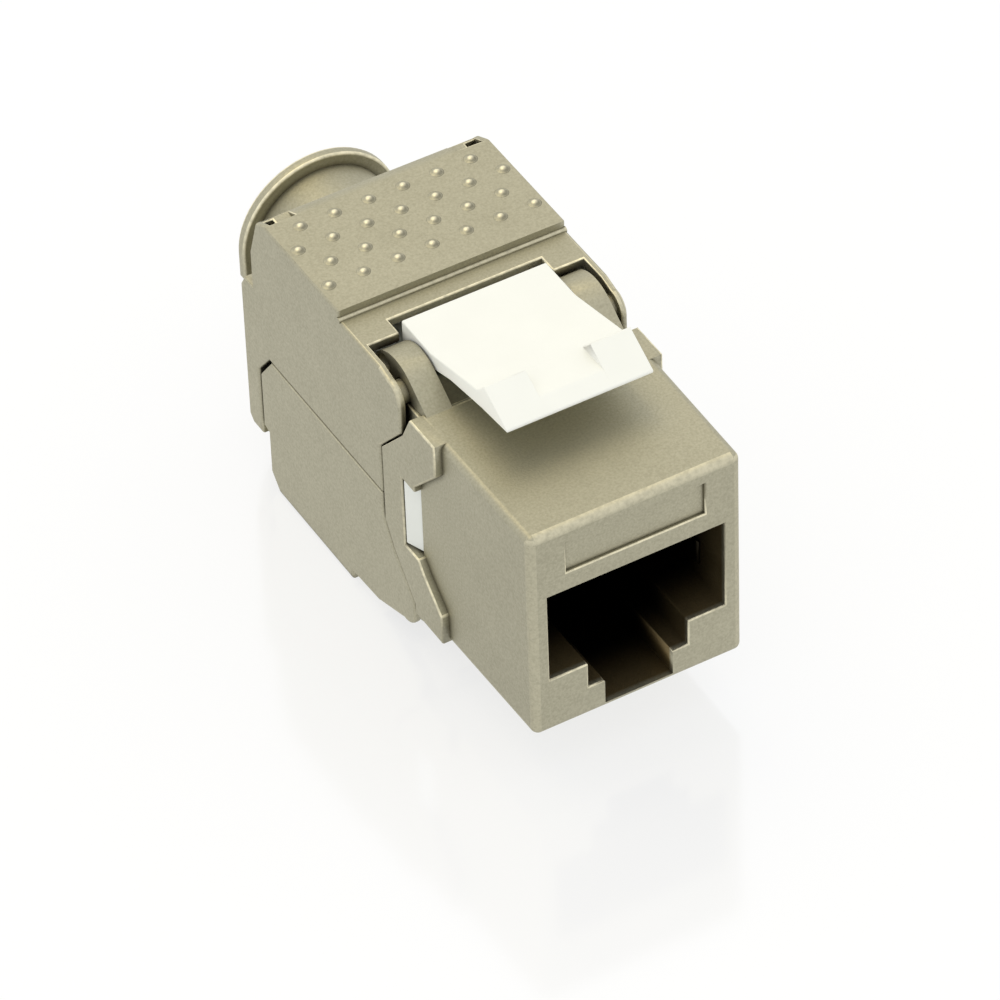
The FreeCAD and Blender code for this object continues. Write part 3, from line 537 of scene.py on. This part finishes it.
def marked_mesh(shape, name, widest, width_of):
    """The shape as a mesh, its edges weighted for a bevel of the widest width and its fillets marked.

    Only outer edges are rounded. An inner one stays sharp, so that no shading runs across it.
    """
    share = shape.edges.layers.float.new("bevel_weight_edge")
    widths = {}
    for edge in shape.edges:
        sharp = edge.calc_face_angle(0) > SHARP
        edge.smooth = not sharp or edge.is_convex
        if sharp and edge.is_convex:
            widths[edge] = min(width_of(edge), ROOM_TAKEN * room_beside(edge))
    for edge, width in evened(widths).items():
        edge.smooth = width > LEAST_ROUNDING
        edge[share] = width / widest if edge.smooth else 0
    for face in shape.faces:
        face.material_index = FILLET * is_fillet(face)
    mesh = bpy.data.meshes.new(name)
    shape.to_mesh(mesh)
    shape.free()
    mesh.shade_smooth()
    for _ in ROUNDED_BY_FACE:
        mesh.materials.append(None)  # a material index has to have a slot
    return mesh


def new_piece(name, mesh):
    """An object for a mesh, put in the scene."""
    piece = bpy.data.objects.new(name, mesh)
    bpy.context.scene.collection.objects.link(piece)
    return piece


def softened(node, name, widest, width_of=None, steps=2, press_to=math.inf):
    """A copy of a node with its sharp outer edges rounded, as a piece that stands for the node.

    An edge is rounded as wide as width_of(edge) says, or else `widest`, and never so wide that two roundings
    meet. The bevel gives its new faces a material slot of their own, which becomes the attribute ROUNDED.
    """
    marked = marked_mesh(merged_shape(node, press_to), name, widest, width_of or (lambda edge: widest))
    piece = new_piece(name, marked)
    bevel = piece.modifiers.new("worn_edges", "BEVEL")
    bevel.width = widest
    bevel.segments = steps
    bevel.limit_method = "WEIGHT"
    bevel.use_clamp_overlap = False
    bevel.miter_outer = "MITER_ARC"
    bevel.material = ROUNDING
    normals = piece.modifiers.new("even_shading", "WEIGHTED_NORMAL")
    normals.keep_sharp = True
    bpy.context.view_layer.update()
    mesh = bpy.data.meshes.new_from_object(piece.evaluated_get(bpy.context.evaluated_depsgraph_get()))
    kinds = np.zeros(len(mesh.polygons), np.int32)
    mesh.polygons.foreach_get("material_index", kinds)
    mesh.polygons.foreach_set("material_index", np.zeros_like(kinds))
    mesh.attributes.new(ROUNDED, "FLOAT", "FACE").data.foreach_set("value", ROUNDED_BY_FACE[kinds])
    piece.modifiers.clear()
    piece.data = mesh
    bpy.data.meshes.remove(marked)
    mesh.name = name
    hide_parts(node)
    return piece


def dress(piece, slot, finish=None):
    """Gives a piece or a node the finish of one of the record's slots, or another one for the same slot."""
    piece.data.materials.clear()
    piece.data.materials.append(bpy.data.materials[finish or FINISHES[slot]])


# New shapes


def mesh_of(name, points, faces):
    """A smooth mesh from an array of points and each face's list of corners."""
    mesh = bpy.data.meshes.new(name)
    mesh.from_pydata(points.tolist(), [], faces)
    mesh.shade_smooth()
    mesh.update()
    return mesh


def carried(name, path, side, section):
    """A closed outline carried along a path.

    path is n points; side is the direction across it, the same all along; section is m pairs of (across,
    outward). A point of the surface is path(i) + side * across(j) + out(i) * outward(j), where out is square
    to both the path and side. The ends are closed by one face each.
    """
    path = np.asarray(path, float)
    side = np.asarray(side, float)
    along = np.gradient(path, axis=0)
    along /= np.linalg.norm(along, axis=1)[:, None]
    out = np.cross(along, side)
    across, outward = section[None, :, :1], section[None, :, 1:]
    points = (path[:, None] + side * across + out[:, None] * outward).reshape(-1, 3)
    count, around = len(path), len(section)
    rows, columns = np.meshgrid(np.arange(count - 1), np.arange(around), indexing="ij")
    corner = rows * around + columns
    beside = rows * around + (columns + 1) % around
    quads = np.stack([corner, beside, beside + around, corner + around], -1).reshape(-1, 4).tolist()
    ends = [list(range(around))[::-1], list(range((count - 1) * around, count * around))]
    return mesh_of(name, points, quads + ends)


def rounded_section(width, thickness, corner, steps=3):
    """A rectangle with round corners, as (across, outward) pairs anticlockwise: a quarter circle at each."""
    turn = np.linspace(0, math.pi / 2, steps + 1)
    centres = [(1, 1), (-1, 1), (-1, -1), (1, -1)]
    arcs = []
    for quarter, (right, up) in enumerate(centres):
        angle = turn + quarter * math.pi / 2
        arcs.append(np.stack([right * (width / 2 - corner) + corner * np.cos(angle),
                              up * (thickness / 2 - corner) + corner * np.sin(angle)], -1))
    return np.concatenate(arcs)


def bend(centre, radius, start, end, steps=10):
    """Points on an arc in the plane of Y and Z, from one angle to another in degrees."""
    angle = np.radians(np.linspace(start, end, steps))
    return [(0, centre[0] + radius * math.cos(a), centre[1] + radius * math.sin(a)) for a in angle]


def domes(name, centres, radius, height, sink, rings=8, around=20):
    """Low round domes that run out softly into the flat face that they stand on.

    A dome is a grid of share s out from its middle and angle a round it: a point lies radius * s out and
    height * (1 - s^2)^2 up. Its rim drops by `sink` into the face and is closed there.
    """
    share = np.linspace(0, 1, rings + 1)
    out = radius * share
    up = height * (1 - share ** 2) ** 2
    out, up = np.append(out[1:], radius), np.append(up[1:], -sink)
    angle = 2 * math.pi * np.arange(around) / around
    circles = np.stack([np.outer(out, np.cos(angle)), np.outer(out, np.sin(angle)),
                        np.repeat(up[:, None], around, 1)], -1)
    dome = np.concatenate([[(0, 0, height)], circles.reshape(-1, 3)])
    points = (np.asarray(centres)[:, None] + dome).reshape(-1, 3)
    turn = np.arange(around)
    beside = (turn + 1) % around
    first = 1 + around * np.arange(rings)[:, None]
    corners = [first + turn, first + turn + around, first + beside + around, first + beside]
    bands = np.stack(corners, -1).reshape(-1, 4)
    crown = np.stack([np.zeros_like(turn), 1 + turn, 1 + beside], -1)
    faces = []
    for start in range(0, len(points), len(dome)):
        faces += (crown + start).tolist()
        faces += (bands + start).tolist()
        faces.append((start + 1 + around * rings + turn[::-1]).tolist())
    return mesh_of(name, points, faces)


# Pieces

COLLAR_RISE = 1.9 * MM  # from the collar's middle to the middle of its upper or lower half circle
FLANGE_INSIDE = 5.0 * MM  # less than the radius of the flange's rim, and more than the collar's
FLANGE_SLACK = 0.05 * MM  # how far in front of the flange a point still counts as on it
LEVEL = 0.01 * MM  # an edge that rises less than this lies square to the collar
DOME_SINK = 0.3 * MM  # how deep a dome's closed foot stands in the plate


class MixFinishes(bpy.types.Operator):
    """Makes the jack's finishes."""

    bl_idname = "jack.finishes"
    bl_label = "Finishes"

    def execute(self, context):
        sizes, colours = context.scene.jack_sizes, context.scene.jack_colours
        blasted_zinc(FINISHES["cast_zinc"], sizes, colours)
        blasted_zinc(DOMED_ZINC, sizes, colours, domed=True)
        blasted_zinc(SOCKET_ZINC, sizes, colours, has_socket=True)
        moulded_plastic(FINISHES["latch_plastic"], colours.latch, 0.42, 0.15)
        moulded_plastic(FINISHES["white_plastic"], colours.block_plastic, 0.5, 0.5)
        moulded_plastic(FINISHES["carrier_plastic"], colours.carrier_plastic, 0.45, 0.5)
        lacquered_board(FINISHES["board"], colours.board)
        plated_metal(FINISHES["contact_gold"], colours.gold, 0.25)
        plated_metal(FINISHES["blade_bronze"], colours.tin, 0.35)
        plated_metal(FINISHES["spring_steel"], colours.nickel, 0.4)
        return {"FINISHED"}


class DressCastings(bpy.types.Operator):
    """Copies the three zinc castings with rounded edges and gives them blasted zinc."""

    bl_idname = "jack.castings"
    bl_label = "Zinc castings"

    def execute(self, context):
        sizes = context.scene.jack_sizes
        flange_front = JAW_HIGH.y - sizes.flange_thickness - FLANGE_SLACK
        castings = {"front_housing": ("housing", SOCKET_ZINC), "upper_jaw": ("upper", None),
                    "lower_jaw": ("lower", None)}

        def on_flange_rim(edge):
            """Whether an edge runs round the flange's rim: two half circles, drawn apart up and down."""
            start, end = (vertex.co for vertex in edge.verts)
            rise = abs(start.z - COLLAR.z) - COLLAR_RISE
            outside = math.hypot(start.x, max(rise, 0)) > FLANGE_INSIDE
            return outside and min(start.y, end.y) > flange_front and abs(end.y - start.y) < LEVEL

        for node, (body, finish) in castings.items():
            others = [tree_of(other) for other in castings if other != node]

            def width_of(edge):
                if on_flange_rim(edge):
                    return sizes.flange_edge
                if any(shuts_on(edge, other) for other in others):
                    return sizes.joint_edge
                return sizes.casting_edge

            piece = softened(node, node + "_casting", sizes.flange_edge, width_of,
                             press_to=JAW_HIGH.z - sizes.dome_height)
            dress(piece, "cast_zinc", finish)
            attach(piece, body)
        return {"FINISHED"}


class MakeGripDomes(bpy.types.Operator):
    """Raises the round grip domes on the upper jaw: four staggered rows of six and seven."""

    bl_idname = "jack.grip_domes"
    bl_label = "Grip domes"

    def execute(self, context):
        sizes = context.scene.jack_sizes
        plate_top = JAW_HIGH.z - sizes.dome_height
        centres = []
        for row in range(4):
            columns = 6 + row % 2
            across = (np.arange(columns) - (columns - 1) / 2) * sizes.dome_pitch_x
            along = FACE_Y + sizes.dome_row - row * sizes.dome_pitch_y
            centres += [(x, along, plate_top) for x in across]
        mesh = domes("grip_domes", centres, sizes.dome_radius, sizes.dome_height, DOME_SINK)
        piece = new_piece("grip_domes", mesh)
        dress(piece, "cast_zinc", DOMED_ZINC)
        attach(piece, "upper")
        return {"FINISHED"}


class DressLatch(bpy.types.Operator):
    """Copies the release latch with soft moulded edges."""

    bl_idname = "jack.latch"
    bl_label = "Release latch"

    def execute(self, context):
        piece = softened("release_latch", "latch_moulding", context.scene.jack_sizes.latch_edge, steps=3)
        dress(piece, "latch_plastic")
        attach(piece, "latch")
        return {"FINISHED"}


class DressMouldings(bpy.types.Operator):
    """Copies the inner plastic mouldings with soft edges."""

    bl_idname = "jack.mouldings"
    bl_label = "Inner mouldings"

    def execute(self, context):
        edge = context.scene.jack_sizes.moulding_edge
        for node, body, slot in (("terminal_block", "housing", "white_plastic"),
                                 ("wire_manager", "manager", "white_plastic"),
                                 ("contact_carrier", "housing", "carrier_plastic")):
            piece = softened(node, node + "_moulding", edge)
            dress(piece, slot)
            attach(piece, body)
        return {"FINISHED"}


class MakeContacts(bpy.types.Operator):
    """Bends the eight gold-plated contacts: along the shelf, round the front and back down to a tip."""

    bl_idname = "jack.contacts"
    bl_label = "Socket contacts"

    def execute(self, context):
        sizes = context.scene.jack_sizes
        section = rounded_section(sizes.contact_width, sizes.contact_thickness, 0.08 * MM)
        turn, half = sizes.contact_bend, sizes.contact_thickness / 2
        for node in CONTACTS:
            low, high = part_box(node)
            level = high.z - half
            front = low.y + turn + half
            tip_y, tip_z = high.y - sizes.contact_tip, low.z + half
            path = [(0, high.y, level), (0, (front + high.y) / 2, level)]
            path += bend((front, level - turn), turn, 90, 257)
            path += [(0, front + 0.6 * MM, level - 2 * turn - 0.16 * MM)]
            path += [(0, tip_y - 0.4 * MM, tip_z + 0.07 * MM), (0, tip_y, tip_z)]
            points = np.array(path) + ((low.x + high.x) / 2, 0, 0)
            name = node.replace("port_contact", "socket_contact")
            piece = new_piece(name, carried(name, points, (1, 0, 0), section))
            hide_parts(node)
            dress(piece, "contact_gold")
            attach(piece, "housing")
        return {"FINISHED"}


class MakeShieldSprings(bpy.types.Operator):
    """Bows the two nickel strips on the socket's side walls.

    A strip stands off its wall by sin(pi * s^0.8)^1.3 of its full reach, where s is the share along it.
    """

    bl_idname = "jack.shield_springs"
    bl_label = "Shield springs"

    def execute(self, context):
        thickness = context.scene.jack_sizes.spring_thickness
        share = np.linspace(0, 1, 25)
        bow = np.sin(math.pi * share ** 0.8) ** 1.3
        for node in ("shield_spring_left", "shield_spring_right"):
            low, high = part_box(node)
            way = 1 if low.x > 0 else -1
            wall, crest = (high.x, low.x) if way > 0 else (low.x, high.x)
            depth = wall - way * thickness / 2 + (crest + way * thickness - wall) * bow
            height = np.full_like(share, (low.z + high.z) / 2)
            points = np.stack([depth, low.y + share * (high.y - low.y), height], -1)
            section = rounded_section(high.z - low.z, thickness, 0.06 * MM)
            piece = new_piece(node + "_strip", carried(node + "_strip", points, (0, 0, 1), section))
            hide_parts(node)
            dress(piece, "spring_steel")
            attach(piece, "housing")
        return {"FINISHED"}


class DressBoard(bpy.types.Operator):
    """Gives the circuit board its lacquer and the wire terminals their tin."""

    bl_idname = "jack.board"
    bl_label = "Board and terminals"

    def execute(self, context):
        dress(frame["nodes"]["circuit_board"], "board")
        for node in BLADES:
            dress(frame["nodes"][node], "blade_bronze")
        return {"FINISHED"}


# Stage


def lay_floor(stage):
    """A white studio floor, matt under a weak gloss: it keeps the jack's shadow and mirrors it faintly."""
    reach = 3.0
    corners = [(-reach, -reach, 0), (reach, -reach, 0), (reach, reach, 0), (-reach, reach, 0)]
    mesh = bpy.data.meshes.new("floor")
    mesh.from_pydata(corners, [], [(0, 1, 2, 3)])
    floor = new_piece("floor", mesh)
    material, tree = new_material("white_studio_floor")
    rays = add_node(tree, "ShaderNodeLightPath").outputs
    seen = add_node(tree, "ShaderNodeMath", {0: rays["Is Camera Ray"], 1: rays["Is Glossy Ray"]},
                    operation="MAXIMUM").outputs[0]
    share = add_node(tree, "ShaderNodeMath", {0: seen, 1: stage.floor_glow}, operation="MULTIPLY").outputs[0]
    paint = add_node(tree, "ShaderNodeBsdfDiffuse", {"Color": tuple(stage.floor)})
    glow = add_node(tree, "ShaderNodeEmission", {"Color": tuple(stage.floor)})
    matt = add_node(tree, "ShaderNodeMixShader", {0: share, 1: paint.outputs[0], 2: glow.outputs[0]})
    polish = add_node(tree, "ShaderNodeBsdfAnisotropic", {"Color": (1, 1, 1, 1), "Roughness": 0.12})
    mirrored = add_node(tree, "ShaderNodeMath", {0: rays["Is Camera Ray"], 1: stage.floor_mirror},
                        operation="MULTIPLY").outputs[0]
    surface = add_node(tree, "ShaderNodeMixShader", {0: mirrored, 1: matt.outputs[0], 2: polish.outputs[0]})
    add_node(tree, "ShaderNodeOutputMaterial", {"Surface": surface.outputs[0]})
    mesh.materials.append(material)


def light_world(scene, strength):
    """A soft, faintly cool light from all round, plain white where the camera or a reflection sees it."""
    world = bpy.data.worlds.new("studio")
    world.use_nodes = True
    tree = world.node_tree
    tree.nodes.clear()
    rays = add_node(tree, "ShaderNodeLightPath").outputs
    direct = add_node(tree, "ShaderNodeMath", {0: rays["Is Camera Ray"], 1: rays["Is Glossy Ray"]},
                      operation="MAXIMUM").outputs[0]
    seen = add_node(tree, "ShaderNodeMath", {0: direct, 1: rays["Is Transmission Ray"]},
                    operation="MAXIMUM").outputs[0]
    cool = (0.97, 0.99, 1.0, 1.0)
    dome = add_node(tree, "ShaderNodeBackground", {"Color": cool, "Strength": strength})
    white = add_node(tree, "ShaderNodeBackground", {"Color": (1, 1, 1, 1), "Strength": 1.0})
    mixed = add_node(tree, "ShaderNodeMixShader", {0: seen, 1: dome.outputs[0], 2: white.outputs[0]})
    add_node(tree, "ShaderNodeOutputWorld", {"Surface": mixed.outputs[0]})
    scene.world = world


def hang_lamp(scene, stage):
    """A square soft lamp above and behind, aimed at the jack and unseen by the camera."""
    data = bpy.data.lights.new("lamp_above_and_behind", "AREA")
    data.size = stage.lamp_size
    data.energy = stage.lamp_power
    data.color = stage.lamp_colour[:3]
    lamp = bpy.data.objects.new("lamp_above_and_behind", data)
    scene.collection.objects.link(lamp)
    lamp.location = stage.lamp_place
    lamp.rotation_euler = (-Vector(stage.lamp_place)).to_track_quat("-Z", "Y").to_euler()
    lamp.visible_camera = False


def place_camera(scene, stage):
    """The camera, turned round the jack, raised and leant, at a distance from the point that it looks at."""
    data = bpy.data.cameras.new("camera")
    data.lens = stage.lens
    data.sensor_width = 36.0
    data.clip_start, data.clip_end = 0.01, 20.0
    camera = bpy.data.objects.new("camera", data)
    scene.collection.objects.link(camera)
    turn = (Matrix.Rotation(stage.azimuth, 4, "Z") @ Matrix.Rotation(math.pi / 2 - stage.elevation, 4, "X")
            @ Matrix.Rotation(stage.roll, 4, "Z"))
    back = turn @ Vector((0, 0, stage.distance))
    camera.matrix_world = Matrix.Translation(Vector(stage.aim) + back) @ turn
    scene.camera = camera


class SetStage(bpy.types.Operator):
    """Lays the pale floor, lights it and places the camera."""

    bl_idname = "jack.stage"
    bl_label = "Stage"

    def execute(self, context):
        scene = context.scene
        stage = scene.jack_stage
        lay_floor(stage)
        light_world(scene, stage.dome_light)
        hang_lamp(scene, stage)
        place_camera(scene, stage)
        scene.view_settings.view_transform = "Standard"
        return {"FINISHED"}


# Add-on


class JackPanel(bpy.types.Panel):
    """Lists the settings and the steps that dress the jack."""

    bl_idname = "VIEW3D_PT_keystone_jack"
    bl_label = "Keystone Jack"
    bl_space_type = "VIEW_3D"
    bl_region_type = "UI"
    bl_category = "Keystone Jack"

    def draw(self, context):
        for name, group in SETTINGS.items():
            column = self.layout.column(align=True)
            for setting in group.__annotations__:
                column.prop(getattr(context.scene, name), setting)
        for step in STEPS:
            self.layout.operator(step.bl_idname)


STEPS = (MixFinishes, DressCastings, MakeGripDomes, DressLatch, DressMouldings, MakeContacts,
         MakeShieldSprings, DressBoard, SetStage)


def register():
    for group in SETTINGS.values():
        bpy.utils.register_class(group)
    for name, group in SETTINGS.items():
        setattr(bpy.types.Scene, name, bpy.props.PointerProperty(type=group))
    for step in STEPS:
        bpy.utils.register_class(step)
    bpy.utils.register_class(JackPanel)


def unregister():
    bpy.utils.unregister_class(JackPanel)
    for step in reversed(STEPS):
        bpy.utils.unregister_class(step)
    for name, group in SETTINGS.items():
        delattr(bpy.types.Scene, name)
        bpy.utils.unregister_class(group)


def main():
    register()
    for step in STEPS:
        group, action = step.bl_idname.split(".")
        getattr(getattr(bpy.ops, group), action)()


if __name__ == "__main__":
    main()
